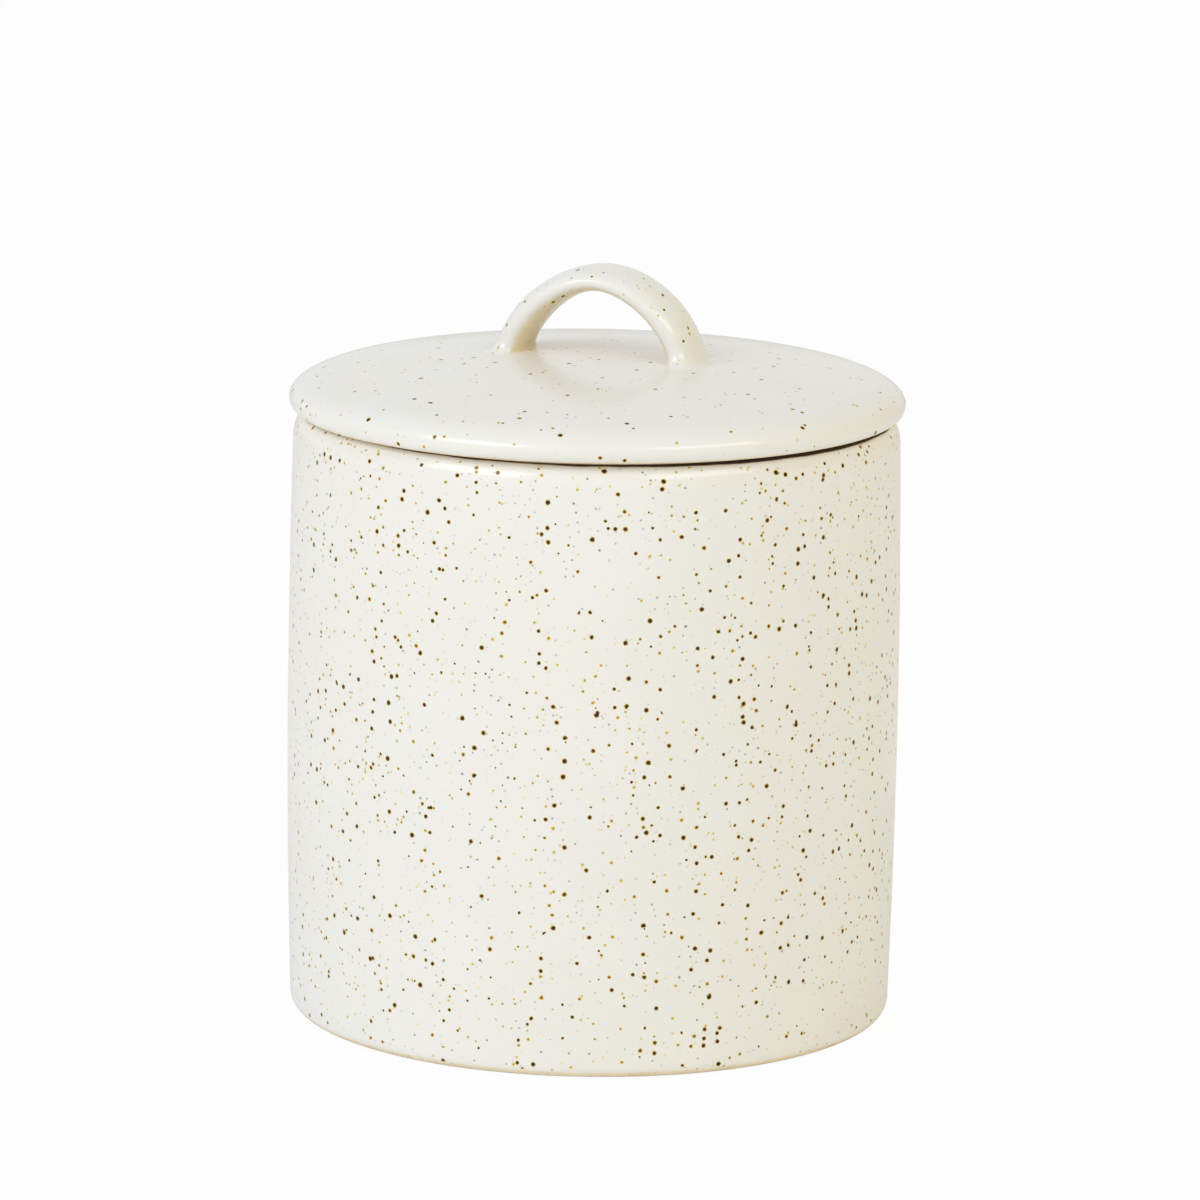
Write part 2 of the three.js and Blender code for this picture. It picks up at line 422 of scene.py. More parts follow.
@dataclass(frozen=True)
class Scatter:
    """How particles lie in the glaze: not quite round, of mixed sizes, and here and there in clumps."""

    wander: float = 0.26 * MM
    wander_grain: float = 0.6 * MM
    clump_grain: float = 12 * MM
    sparse: float = 0.45
    dense: float = 1.35
    smallest: float = 0.38

    def group(self) -> bpy.types.NodeTree:
        """Builds the group that scatters particles through the glaze.

        Returns:
            A group that says how near a place is to the middle of a particle, from 0 outside it to 1.
        """
        numbers = dict.fromkeys(("Spacing", "Radius", "Share", "Seed", "Faintest"), SocketKind.NUMBER)
        nearness = {"Nearness": SocketKind.NUMBER}
        bench, given, result = start_group("scattered_specks", {"Place": SocketKind.PLACE, **numbers}, nearness)
        seeded = bench.vector("ADD", given["Place"], given["Seed"])
        jitter = bench.noise(seeded, 1 / self.wander_grain).outputs["Color"]
        pushed = bench.vector("MULTIPLY", bench.vector("SUBTRACT", jitter, (0.5,) * 3), (self.wander,) * 3)
        density = bench.maths("DIVIDE", 1.0, given["Spacing"])
        feeds = {"Vector": bench.vector("ADD", seeded, pushed), "Scale": density}
        cells = bench.put("ShaderNodeTexVoronoi", {"feature": "F1"}, feeds).outputs
        chances = bench.put("ShaderNodeSeparateColor", feeds={"Color": cells["Color"]}).outputs
        clumps = bench.span(bench.grain(seeded, self.clump_grain, 1.0), *NOISE_RANGE, self.sparse, self.dense)
        there = bench.maths("LESS_THAN", chances[0], bench.maths("MULTIPLY", given["Share"], clumps))
        size = bench.maths("MULTIPLY", given["Radius"], bench.span(chances[1], 0.0, 1.0, self.smallest, 1.0))
        away = bench.maths("DIVIDE", bench.maths("MULTIPLY", cells["Distance"], given["Spacing"]), size)
        near = bench.maths("SUBTRACT", 1.0, away, clamp=True)
        strength = bench.span(chances[2], 0.0, 1.0, given["Faintest"], 1.0)
        near_one = bench.maths("MULTIPLY", bench.maths("MULTIPLY", near, there), strength)
        bench.feed(result.inputs["Nearness"], near_one)
        return bench.tree


@dataclass(frozen=True)
class SpeckFamily:
    """One kind of iron speck: how many, how large, and how its colour runs from the rim to the core."""

    spacing: float
    radius: float
    share: float
    seed: float
    faintest: float
    stops: Ramp


DARK_IRON = SpeckFamily(spacing=2.05 * MM, radius=0.66 * MM, share=0.74, seed=0.11, faintest=0.9, stops=(
    (0.0, WHITE), (0.08, (0.97, 0.92, 0.56)), (0.2, (0.76, 0.5, 0.04)), (0.33, (0.4, 0.17, 0.0)),
    (0.42, (0.06, 0.01, 0.0)), (0.52, BLACK)))
AMBER = SpeckFamily(spacing=1.85 * MM, radius=0.46 * MM, share=0.62, seed=0.37, faintest=0.35, stops=(
    (0.0, WHITE), (0.12, (0.95, 0.9, 0.55)), (0.34, (0.7, 0.47, 0.04)), (0.55, (0.36, 0.17, 0.0)),
    (0.75, (0.05, 0.01, 0.0))))
OCHRE = SpeckFamily(spacing=1.85 * MM, radius=0.4 * MM, share=0.55, seed=0.59, faintest=0.3, stops=(
    (0.0, WHITE), (0.3, (0.94, 0.91, 0.66)), (0.8, (0.8, 0.68, 0.24)), (1.0, (0.6, 0.42, 0.06))))
GREY = SpeckFamily(spacing=1.5 * MM, radius=0.4 * MM, share=0.72, seed=0.83, faintest=0.3, stops=(
    (0.0, WHITE), (0.2, (0.84, 0.87, 0.9)), (0.5, (0.36, 0.38, 0.41)), (0.8, (0.02, 0.02, 0.02))))


@dataclass(frozen=True)
class SatinGlaze:
    """The off-white satin glaze with its iron specks."""

    colour: Colour = (0.83, 0.826, 0.788)
    warm_cloud: Colour = (0.992, 0.987, 0.968)
    cloud_grain: float = 22 * MM
    roughness: float = 0.18
    roughness_spread: float = 0.015
    peel_grain: float = 3 * MM
    peel_height: float = 0.001 * MM
    pit_depth: float = 0.006 * MM
    scatter: Scatter = Scatter()
    families: tuple[SpeckFamily, ...] = (DARK_IRON, AMBER, OCHRE, GREY)

    def group(self) -> bpy.types.NodeTree:
        """Builds the glaze's group.

        Returns:
            A group that gives the glaze's colour, roughness and height at a place.
        """
        inputs = {"Place": SocketKind.PLACE, "Colour": SocketKind.COLOUR, "Specks": SocketKind.NUMBER}
        bench, given, result = start_group("speckled_glaze", inputs, SURFACE)
        specks = self.scatter.group()
        place = given["Place"]
        cloud = bench.span(bench.grain(place, self.cloud_grain), *NOISE_MIDDLE)
        colour = bench.blend("MULTIPLY", cloud, given["Colour"], self.warm_cloud)
        deepest: Socket | float = 0.0
        for family in self.families:
            share = bench.maths("MULTIPLY", given["Specks"], family.share)
            nearness = bench.group(specks, {
                "Place": place, "Spacing": family.spacing, "Radius": family.radius, "Share": share,
                "Seed": family.seed, "Faintest": family.faintest})["Nearness"]
            colour = bench.blend("MULTIPLY", 1.0, colour, bench.ramp(nearness, family.stops))
            deepest = bench.maths("MAXIMUM", deepest, nearness)
        peel = bench.grain(place, self.peel_grain)
        pit = bench.maths("MULTIPLY", deepest, self.pit_depth)
        height = bench.maths("SUBTRACT", bench.maths("MULTIPLY", peel, self.peel_height), pit)
        glossiest, dullest = self.roughness - self.roughness_spread, self.roughness + self.roughness_spread
        bench.feed(result.inputs["Colour"], colour)
        bench.feed(result.inputs["Roughness"], bench.span(peel, *NOISE_RANGE, glossiest, dullest))
        bench.feed(result.inputs["Height"], height)
        return bench.tree


@dataclass(frozen=True)
class BareClay:
    """The buff stoneware clay, toasted where the glaze ends, and painted near black under the lid's edge as
    shade for the gap between lid and rim.
    """

    colour: Colour = (0.86, 0.76, 0.58)
    toasted: Colour = (0.76, 0.61, 0.42)
    toasted_from: float = 0.46
    toasted_fully: float = 0.66
    # Painted shade: a near-black colour for the shaded gap between the lid's edge and the rim.
    painted_gap_shade_colour: Colour = (0.035, 0.016, 0.006)
    roughness: float = 0.82
    grain: float = 0.35 * MM
    grain_detail: float = 4.0
    blotch_grain: float = 6 * MM
    grit_height: float = 0.02 * MM

    def group(self) -> bpy.types.NodeTree:
        """Builds the clay's group.

        Returns:
            A group that gives the clay's colour, roughness and height at a place, darkened by a share to the
            painted gap shade.
        """
        inputs = {"Place": SocketKind.PLACE, "Painted Gap Shade": SocketKind.NUMBER}
        bench, given, result = start_group("bare_clay_and_painted_gap_shade", inputs, SURFACE)
        grit = bench.grain(given["Place"], self.grain, self.grain_detail)
        blotch = bench.grain(given["Place"], self.blotch_grain)
        mixed = bench.maths("MULTIPLY", bench.maths("ADD", grit, blotch), 0.5)
        toast = bench.soft_span(mixed, self.toasted_from, self.toasted_fully)
        buff = bench.blend("MIX", toast, self.colour, self.toasted)
        # Mixes the painted gap shade into the clay by the given share.
        bench.feed(result.inputs["Colour"], bench.blend("MIX", given["Painted Gap Shade"], buff, self.painted_gap_shade_colour))
        bench.feed(result.inputs["Roughness"], self.roughness)
        bench.feed(result.inputs["Height"], bench.maths("MULTIPLY", grit, self.grit_height))
        return bench.tree


@dataclass(frozen=True)
class BareZone:
    """Where a piece was wiped clean of glaze: between two heights, and further out than a radius."""

    bottom: float
    top: float
    inner: float = 0.0
    # How far the zone is painted near black as shade for the gap under the lid's edge.
    painted_gap_shade: float = 0.0
    rise: Triple = (0.0, 0.0, 0.0)
    waviness: float = 0.3 * MM
    softness: float = 0.25 * MM
    wave_grain: float = 7 * MM


def zone_group() -> bpy.types.NodeTree:
    """Builds the group that masks the bare clay, with the wavy edge that a wiped glaze has.

    Returns:
        A group that gives 1 where the clay is bare and 0 where it is glazed.
    """
    numbers = dict.fromkeys(("Bottom", "Top", "Inner", "Waviness", "Softness", "Wave Grain"), SocketKind.NUMBER)
    inputs = {"Place": SocketKind.PLACE, "Rise": SocketKind.PLACE, **numbers}
    bench, given, result = start_group("wiped_edge", inputs, {"Bare": SocketKind.NUMBER})
    place, soft = given["Place"], given["Softness"]
    axes = bench.put("ShaderNodeSeparateXYZ", feeds={"Vector": place}).outputs
    squares = [bench.maths("POWER", axes[axis], 2.0) for axis in ("X", "Y")]
    radius = bench.maths("SQRT", bench.maths("ADD", *squares))
    noise = bench.noise(place, bench.maths("DIVIDE", 1.0, given["Wave Grain"])).outputs["Fac"]
    wave = bench.maths("MULTIPLY", bench.maths("SUBTRACT", noise, 0.5), given["Waviness"])
    slant = bench.vector("DOT_PRODUCT", place, given["Rise"])
    height = bench.maths("SUBTRACT", bench.maths("ADD", axes["Z"], wave), slant)
    above = bench.soft_span(height, bench.maths("SUBTRACT", given["Bottom"], soft), given["Bottom"])
    over = bench.soft_span(height, given["Top"], bench.maths("ADD", given["Top"], soft))
    outside = bench.soft_span(radius, given["Inner"], bench.maths("ADD", given["Inner"], soft))
    between = bench.maths("MULTIPLY", above, bench.maths("SUBTRACT", 1.0, over))
    bench.feed(result.inputs["Bare"], bench.maths("MULTIPLY", between, outside))
    return bench.tree


@dataclass(frozen=True)
class ArchShade:
    """Painted shade inside an arch: a warm tan tint on the faces that look towards its middle, where shade and
    warm bounce light fall.
    """

    centre: Vector
    # The painted shade's warm tan colour.
    colour: Colour = (0.8, 0.69, 0.48)
    first: float = 0.0
    full: float = 0.75


def arch_shade_group() -> bpy.types.NodeTree:
    """Builds the group that finds the inside of an arch, where shade is painted.

    Returns:
        A group that says how far a surface faces the arch's middle, from 0 to 1.
    """
    places = dict.fromkeys(("Place", "Normal", "Centre"), SocketKind.PLACE)
    numbers = dict.fromkeys(("First", "Full"), SocketKind.NUMBER)
    bench, given, result = start_group("painted_shade_inside_arch", {**places, **numbers}, {"Painted Shade": SocketKind.NUMBER})
    inward = bench.vector("NORMALIZE", bench.vector("SUBTRACT", given["Centre"], given["Place"]))
    facing = bench.vector("DOT_PRODUCT", inward, given["Normal"])
    bench.feed(result.inputs["Painted Shade"], bench.soft_span(facing, given["First"], given["Full"]))
    return bench.tree


def start_material(name: str) -> tuple[bpy.types.Material, Bench]:
    """Makes a material without nodes.

    Args:
        name: Its name.

    Returns:
        The material and the bench of its tree.
    """
    material = bpy.data.materials.new(name)
    material.use_nodes = True
    material.node_tree.nodes.clear()
    return material, Bench(material.node_tree)


class Kiln:
    """Fires the pieces: it builds the shared groups once and makes each piece's material from them."""

    def __init__(self, glaze: SatinGlaze, clay: BareClay) -> None:
        """Builds the shared groups.

        Args:
            glaze: The glaze of all the pieces.
            clay: The clay under it.
        """
        self.glaze = glaze
        self.glaze_tree = glaze.group()
        self.clay_tree = clay.group()
        self.zone_tree = zone_group()
        self.arch_shade_tree = arch_shade_group()

    def ground(self, bench: Bench, place: Socket, arch_shade: ArchShade | None) -> object:
        """Gives the glaze's own colour, with warm shade painted inside an arch.

        Args:
            bench: The material's bench.
            place: The socket that gives the place.
            arch_shade: Where warm shade is painted inside an arch, if it is anywhere.

        Returns:
            The colour, or its socket.
        """
        if arch_shade is None:
            return opaque(self.glaze.colour)
        normal = bench.put("ShaderNodeNewGeometry").outputs["Normal"]
        share = bench.group(self.arch_shade_tree, {
            "Place": place, "Normal": normal, "Centre": tuple(arch_shade.centre),
            "First": arch_shade.first, "Full": arch_shade.full})
        # Painted shade: tints the faces inside the arch a warm tan.
        return bench.blend("MIX", share["Painted Shade"], self.glaze.colour, arch_shade.colour)

    def wipe(self, bench: Bench, place: Socket, zone: BareZone, surface: Surface) -> Surface:
        """Lays the clay bare in one zone, with the zone's share of painted gap shade.

        Args:
            bench: The material's bench.
            place: The socket that gives the place.
            zone: The zone.
            surface: The surface so far.

        Returns:
            The surface with the clay in the zone.
        """
        bare = bench.group(self.zone_tree, {
            "Place": place, "Bottom": zone.bottom, "Top": zone.top, "Inner": zone.inner, "Rise": zone.rise,
            "Waviness": zone.waviness, "Softness": zone.softness, "Wave Grain": zone.wave_grain})["Bare"]
        clay = bench.group(self.clay_tree, {"Place": place, "Painted Gap Shade": zone.painted_gap_shade})
        mixed = {"Colour": bench.blend("MIX", bare, surface["Colour"], clay["Colour"])}
        for label in ("Roughness", "Height"):
            mixed[label] = bench.span(bare, 0.0, 1.0, surface[label], clay[label])
        return mixed

    def fire(self, name: str, zones: Iterable[BareZone] = (), specks: float = 1.0,
             arch_shade: ArchShade | None = None) -> bpy.types.Material:
        """Makes a glazed material with its bare zones.

        Args:
            name: The material's name.
            zones: Where the clay is bare.
            specks: How many specks there are, as a share of the glaze's own number.
            arch_shade: Where warm shade is painted inside an arch, if it is anywhere.

        Returns:
            The material.
        """
        material, bench = start_material(name)
        place = bench.put("ShaderNodeTexCoord").outputs["Object"]
        feeds = {"Place": place, "Colour": self.ground(bench, place, arch_shade), "Specks": specks}
        surface = bench.group(self.glaze_tree, feeds)
        for zone in zones:
            surface = self.wipe(bench, place, zone, surface)
        colour, rough, height = (surface[label] for label in SURFACE)
        bump = bench.put("ShaderNodeBump", feeds={"Height": height, "Distance": 1.0}).outputs["Normal"]
        feeds = {"Base Color": colour, "Roughness": rough, "Normal": bump}
        shader = bench.put("ShaderNodeBsdfPrincipled", feeds=feeds)
        bench.put("ShaderNodeOutputMaterial", feeds={"Surface": shader.outputs["BSDF"]})
        return material


def dress(piece: Piece, material: bpy.types.Material, body: Body, node: Node, slot: Slot) -> None:
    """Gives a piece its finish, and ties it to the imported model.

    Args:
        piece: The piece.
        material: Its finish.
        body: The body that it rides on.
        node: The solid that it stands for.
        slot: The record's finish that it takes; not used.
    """
    piece.data.materials.clear()
    piece.data.materials.append(material)
    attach(piece, body.value)
    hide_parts(node.value)


@dataclass
class JarBody:
    """The thrown body: foot ring, barely swelling wall, round shoulder, rim and glazed inside."""

    height: float
    radius: float = 60 * MM
    barrel: float = 0.87 * MM
    wall: float = 5.6 * MM
    floor: float = 5.8 * MM
    cove: float = 9 * MM
    shoulder_drop: float = 5.8 * MM
    rim_land: float = 0.9 * MM
    lip_round: float = 0.9 * MM
    foot_round: float = 2.5 * MM
    ring_width: float = 5 * MM
    ring_ease: float = 0.8 * MM
    recess: float = 2 * MM
    recess_slope: float = 1.6 * MM
    corner_steps: int = 10
    wall_steps: int = 48
    glaze_line: float = 1.25 * MM
    wiped_drop: float = 0.8 * MM
    # Painted shade: a near-black band under the lid's edge stands for the shade in the gap between lid and rim.
    painted_shade_drop: float = 0.68 * MM
    painted_shade_from: float = 57.4 * MM
    # Tilts the bare rim and its painted shade so that both reach lower on the +X side, where the gap's shade is
    # deeper, and barely show on the -X side.
    rim_and_shade_slant: Triple = (-0.0058, -0.0021, 0.0)

    def wall_at(self, height: float) -> float:
        """Gives the wall's outside radius at a height."""
        return self.radius + self.barrel * bow(height / self.height)

    def outline(self) -> Outline:
        """Draws the profile, from under the floor round the outside and back down the inside.

        Returns:
            The outline.
        """
        line = Outline()
        ring_outer = self.wall_at(self.foot_round) - self.foot_round
        ring_inner = ring_outer - self.ring_width
        eased = Vector((ring_inner + self.ring_ease, self.ring_ease))
        line.to(0, self.recess)
        line.to(ring_inner - self.recess_slope, self.recess)
        line.round(eased, self.ring_ease, 180, 270, self.corner_steps)
        line.round(Vector((ring_outer, self.foot_round)), self.foot_round, -90, 0, self.corner_steps)
        shoulder = self.height - self.shoulder_drop
        line.follow(lambda z: Vector((self.wall_at(z), z)), self.foot_round, shoulder, self.wall_steps)
        mouth = self.radius - self.wall
        land = mouth + self.lip_round + self.rim_land
        width = self.wall_at(shoulder) - land
        line.arc(Vector((land, shoulder)), Vector((width, self.shoulder_drop)), 0, 90, 2 * self.corner_steps)
        lip = Vector((mouth + self.lip_round, self.height - self.lip_round))
        line.round(lip, self.lip_round, 90, 180, self.corner_steps)
        cove_top = self.recess + self.floor + self.cove
        line.follow(lambda z: Vector((self.wall_at(z) - self.wall, z)), lip.y, cove_top, self.wall_steps)
        cove_centre = Vector((self.wall_at(cove_top) - self.wall - self.cove, cove_top))
        line.round(cove_centre, self.cove, 0, -90, 2 * self.corner_steps)
        return line.to(0, self.recess + self.floor)

    def bare_zones(self) -> tuple[BareZone, ...]:
        """Lists where the body is bare, the foot and the rim, and where shade for the gap under the lid's edge
        is painted as a near-black line.

        Returns:
            The zones, each of which covers those before it.
        """
        top = self.height + self.wiped_drop
        foot = BareZone(bottom=-self.glaze_line, top=self.glaze_line)
        rim = BareZone(bottom=self.height - self.wiped_drop, top=top, rise=self.rim_and_shade_slant)
        # Painted shade: the shaded gap under the lid's edge, laid on as near-black clay.
        line = BareZone(bottom=self.height - self.painted_shade_drop, top=top, inner=self.painted_shade_from, painted_gap_shade=1.0,
                        rise=self.rim_and_shade_slant)
        return foot, rim, line

    def build(self, wheel: Wheel, kiln: Kiln) -> Piece:
        """Throws and glazes the body.

        Args:
            wheel: What turns it.
            kiln: What gives its finish.

        Returns:
            The finished piece.
        """
        piece = wheel.throw("thrown_body", self.outline())
        finish = kiln.fire("body_glaze_foot_and_painted_seam_shade", self.bare_zones())
        dress(piece, finish, Body.JAR, Node.BODY, Slot.BODY)
        return piece


@dataclass
class Lid:
    """The domed lid: locating flange, flat seat, broad rounded edge and shallow dome."""

    seat: float
    radius: float
    edge_height: float = 2.2 * MM
    undercut: float = 1.5 * MM
    shoulder_width: float = 12.9 * MM
    shoulder_rise: float = 5.3 * MM
    dome_slope: float = 0.166
    thickness: float = 5.4 * MM
    flange_radius: float = 53.4 * MM
    flange_depth: float = 7.5 * MM
    flange_wall: float = 4 * MM
    flange_taper: float = 0.5 * MM
    flange_ease: float = 1.2 * MM
    flange_root: float = 0.8 * MM
    recess_corner: float = 3 * MM
    corner_steps: int = 10
    dome_steps: int = 30
    glaze_line: float = 0.35 * MM
    glazed_flange: float = 1.2 * MM
    specks: float = 0.28

    def spring_angle(self) -> float:
        """Gives the angle on the rounded edge where it hands over to the dome, in radians."""
        return math.atan2(self.shoulder_rise, self.dome_slope * self.shoulder_width)

    def spring_radius(self) -> float:
        """Gives the radius where the rounded edge hands over to the dome."""
        return self.radius - self.shoulder_width * (1 - math.cos(self.spring_angle()))

    def dome_at(self, radius: float) -> float:
        """Gives the dome's height, whose slope grows evenly from the axis outwards.

        Args:
            radius: The distance from the jar's axis.

        Returns:
            The height.
        """
        spring_height = self.seat + self.edge_height + self.shoulder_rise * math.sin(self.spring_angle())
        spring = self.spring_radius()
        return spring_height + self.dome_slope * (spring**2 - radius**2) / (2 * spring)

    def outline(self) -> Outline:
        """Draws the profile, from under the dome round the flange, the seat and the edge to the crown.

        Returns:
            The outline.
        """
        line = Outline()
        recess = self.flange_radius - self.flange_wall
        corner = recess - self.recess_corner
        line.follow(lambda r: Vector((r, self.dome_at(r) - self.thickness)), 0, corner, self.dome_steps)
        corner_centre = Vector((corner, self.dome_at(corner) - self.thickness - self.recess_corner))
        line.round(corner_centre, self.recess_corner, 90, 0, self.corner_steps)
        bottom = self.seat - self.flange_depth + self.flange_ease
        outer = self.flange_radius - self.flange_taper - self.flange_ease
        line.round(Vector((recess + self.flange_ease, bottom)), self.flange_ease, 180, 270, self.corner_steps)
        line.round(Vector((outer, bottom)), self.flange_ease, -90, 0, self.corner_steps)
        root = Vector((self.flange_radius + self.flange_root, self.seat - self.flange_root))
        line.round(root, self.flange_root, 180, 90, self.corner_steps)
        edge = self.seat + self.edge_height
        lower = Vector((self.radius - self.undercut, edge))
        line.arc(lower, Vector((self.undercut, self.edge_height)), -90, 0, 2 * self.corner_steps)
        upper = Vector((self.radius - self.shoulder_width, edge))
        upper_radii = Vector((self.shoulder_width, self.shoulder_rise))
        line.arc(upper, upper_radii, 0, math.degrees(self.spring_angle()), 3 * self.corner_steps)
        return line.follow(lambda r: Vector((r, self.dome_at(r))), self.spring_radius(), 0, self.dome_steps)

    def build(self, wheel: Wheel, kiln: Kiln) -> Piece:
        """Throws and glazes the lid.

        Args:
            wheel: What turns it.
            kiln: What gives its finish.

        Returns:
            The finished piece.
        """
        piece = wheel.throw("domed_lid", self.outline())
        inner = self.flange_radius - self.flange_wall + self.glazed_flange
        seat = BareZone(bottom=0.0, top=self.seat + self.glaze_line, inner=inner)
        finish = kiln.fire("lid_glaze_and_seat", (seat,), specks=self.specks)
        dress(piece, finish, Body.LID, Node.LID, Slot.LID)
        return piece


@dataclass
class StrapHandle:
    """The pulled strap: an arch of oval section, its feet smoothed into the dome of the lid."""

    lid: Lid
    half_span: float = 18.28 * MM
    off_centre: float = 0.55 * MM
    rise: float = 15.45 * MM
    arch_power: float = 1.7
    crown_round: float = 0.21
    crown_shift: float = 0.34 * MM
    root: float = 1.08 * MM
    thickness_top: float = 5 * MM
    thickness_foot: float = 5.9 * MM
    thickness_swell: float = 0.55 * MM
    width_top: float = 15.5 * MM
    width_foot: float = 13.3 * MM
    outer_power: float = 2.0
    inner_power: float = 2.4
    flare_height: float = 3.4 * MM
    flare_reach: float = 2.73 * MM
    flare_sides: float = 2.9 * MM
    flare_inside: float = 0.5 * MM
    sunk: float = 0.4 * MM
    bedded: float = 0.16 * MM
    specks: float = 0.45
    section_points: int = 64
    arch_stations: int = 64
    flare_stations: int = 14
    tangent_reach: float = 0.001
    drawing_reach: float = 2 * MM

    def rounding(self) -> tuple[float, float]:
        """Gives what rounds the arch's crown off, so that it has no ridge.

        Returns:
            What is taken from each power on the arch's curve, and the whole fall that is then left.
        """
        taken = self.crown_round**self.arch_power
        return taken, (1 + self.crown_round**2) ** (self.arch_power / 2) - taken

    def middle(self, angle: float) -> Vector:
        """Gives a point of the strap's middle line.

        Args:
            angle: Its place, from the left foot (pi) to the right foot (0).

        Returns:
            The point.
        """
        across = math.copysign(abs(math.cos(angle)) ** (2 / self.arch_power), math.cos(angle))
        taken, whole = self.rounding()
        fall = ((across**2 + self.crown_round**2) ** (self.arch_power / 2) - taken) / whole
        up = max(1 - fall, 0.0) ** (1 / self.arch_power)
        base = self.lid.dome_at(self.half_span) - self.root
        x = self.off_centre + self.half_span * across + self.crown_shift * up
        return Vector((x, 0, base + (self.rise + self.root) * up))

    def angle_at(self, height: float) -> float:
        """Finds a height over the lid on the arch's middle line.

        Args:
            height: The height, over the lid where the feet stand.

        Returns:
            The angle there, on the right side.
        """
        taken, whole = self.rounding()
        fall = 1 - ((height + self.root) / (self.rise + self.root)) ** self.arch_power
        across = math.sqrt((fall * whole + taken) ** (2 / self.arch_power) - self.crown_round**2)
        return math.acos(across ** (self.arch_power / 2))

    def lean(self, angle: float) -> float:
        """Gives the turn about Y that lays a ring square to the strap, and flat on the lid at a foot.

        Args:
            angle: The ring's place on the arch.

        Returns:
            The turn, in radians.
        """
        along = self.middle(angle - self.tangent_reach) - self.middle(angle + self.tangent_reach)
        square = math.atan2(along.x, along.z)
        spot = self.middle(angle)
        over = spot.z - self.lid.dome_at(abs(spot.x))
        dome_lean = self.lid.dome_slope * spot.x / self.lid.spring_radius()
        level = dome_lean if along.z > 0 else math.pi + dome_lean
        share = smooth_step(self.flare_height, 0, over)
        return square + (level - square) * share

    def section(self) -> list[Vector]:
        """Draws the strap's section, a millimetre in half width and half thickness.

        Returns:
            Its points, flat: its rounded back faces -X and its flatter inside faces +X.
        """
        points = []
        for step in range(self.section_points):
            angle = math.tau * step / self.section_points
            power = 2 / (self.inner_power if math.cos(angle) > 0 else self.outer_power)
            x, y = (MM * math.copysign(abs(part) ** power, part) for part in (math.cos(angle), math.sin(angle)))
            points.append(Vector((x, y, 0)))
        return points

    def draw_section(self) -> Piece:
        """Draws the section point by point as a closed line at the origin.

        Returns:
            The piece that it starts.
        """
        piece = draw_line("strap_handle", self.section())
        bpy.ops.mesh.select_all(action="SELECT")
        bpy.ops.mesh.edge_face_add()
        bpy.ops.mesh.delete(type="ONLY_FACE")
        return piece

    def pick_section(self, piece: Piece) -> None:
        """Selects the section that was drawn at the origin, and nothing else.

        Args:
            piece: The handle, in edit mode.
        """
        bpy.ops.mesh.select_all(action="DESELECT")
        shape = bmesh.from_edit_mesh(piece.data)
        for vertex in shape.verts:
            vertex.select = vertex.co.length < self.drawing_reach
        shape.select_flush_mode()
        bmesh.update_edit_mesh(piece.data)

    def add_ring(self, piece: Piece, angle: float, over: float) -> None:
        """Copies the section to one place of the strap.

        Args:
            piece: The handle, in edit mode.
            angle: The copy's place on the arch.
            over: Its middle's height over the lid, which sets how far the smoothed clay spreads.
        """
        down = depth_share(over, self.rise)
        depth = depth_share(over, self.flare_height)
        spread = 1 - math.sqrt(1 - depth**2)
        outside, inside = self.flare_reach * spread, self.flare_inside * spread
        spot = self.middle(angle)
        spot.x += math.copysign((outside - inside) / 2, spot.x)
        fitted = self.lid.dome_at(abs(spot.x)) - self.lid.dome_at(self.half_span) - self.bedded
        spot.z += min(over, 0.0) + fitted * depth
        thickness = self.thickness_top + (self.thickness_foot - self.thickness_top) * down
        thickness += self.thickness_swell * bow(down)
        width = self.width_top + (self.width_foot - self.width_top) * down
        half_thickness = (thickness + outside + inside) / 2
        half_width = width / 2 + self.flare_sides * spread
        self.pick_section(piece)
        bpy.ops.mesh.duplicate()
        bpy.ops.transform.resize(value=(half_thickness / MM, half_width / MM, 1.0), center_override=(0, 0, 0))
        bpy.ops.transform.rotate(value=-self.lean(angle), orient_axis="Y", center_override=(0, 0, 0))
        bpy.ops.transform.translate(value=spot)

    def rings(self) -> Iterable[tuple[float, float]]:
        """Lists the rings from the left foot to the right one.

        Yields:
            The angle of a ring and its height over the lid.
        """
        flare = [self.flare_height * (1 - math.sin(QUARTER * step / self.flare_stations))
                 for step in range(self.flare_stations, -1, -1)]
        feet = [(self.angle_at(over), over) for over in flare]
        start = feet[-1][0]
        yield math.pi - feet[0][0], -self.sunk
        for angle, over in feet:
            yield math.pi - angle, over
        for station in range(1, self.arch_stations):
            angle = math.pi - start - (math.pi - 2 * start) * station / self.arch_stations
            spot = self.middle(angle)
            yield angle, spot.z - self.lid.dome_at(abs(spot.x))
        for angle, over in reversed(feet):
            yield angle, over
        yield feet[0][0], -self.sunk

    def pull(self) -> Piece:
        """Pulls the strap through its rings.

        Returns:
            A closed piece.
        """
        piece = self.draw_section()
        for angle, over in self.rings():
            self.add_ring(piece, angle, over)
        self.pick_section(piece)
        bpy.ops.mesh.delete(type="VERT")
        bpy.ops.mesh.select_all(action="SELECT")
        bpy.ops.mesh.bridge_edge_loops()
        bpy.ops.mesh.select_all(action="SELECT")
        bpy.ops.mesh.fill_holes(sides=0)
        close_up(piece)
        return piece

    def build(self, wheel: Wheel, kiln: Kiln) -> Piece:
        """Pulls and glazes the handle.

        Args:
            wheel: What gives the surface its unevenness, as the lid's.
            kiln: What gives its finish.

        Returns:
            The finished piece.
        """
        piece = self.pull()
        wheel.settle(piece)
        # Warm shade is painted on the faces inside the handle's arch, round its middle.
        middle = Vector((self.off_centre, 0, self.lid.dome_at(0)))
        finish = kiln.fire("handle_glaze", specks=self.specks, arch_shade=ArchShade(centre=middle))
        dress(piece, finish, Body.LID, Node.HANDLE, Slot.HANDLE)
        return piece


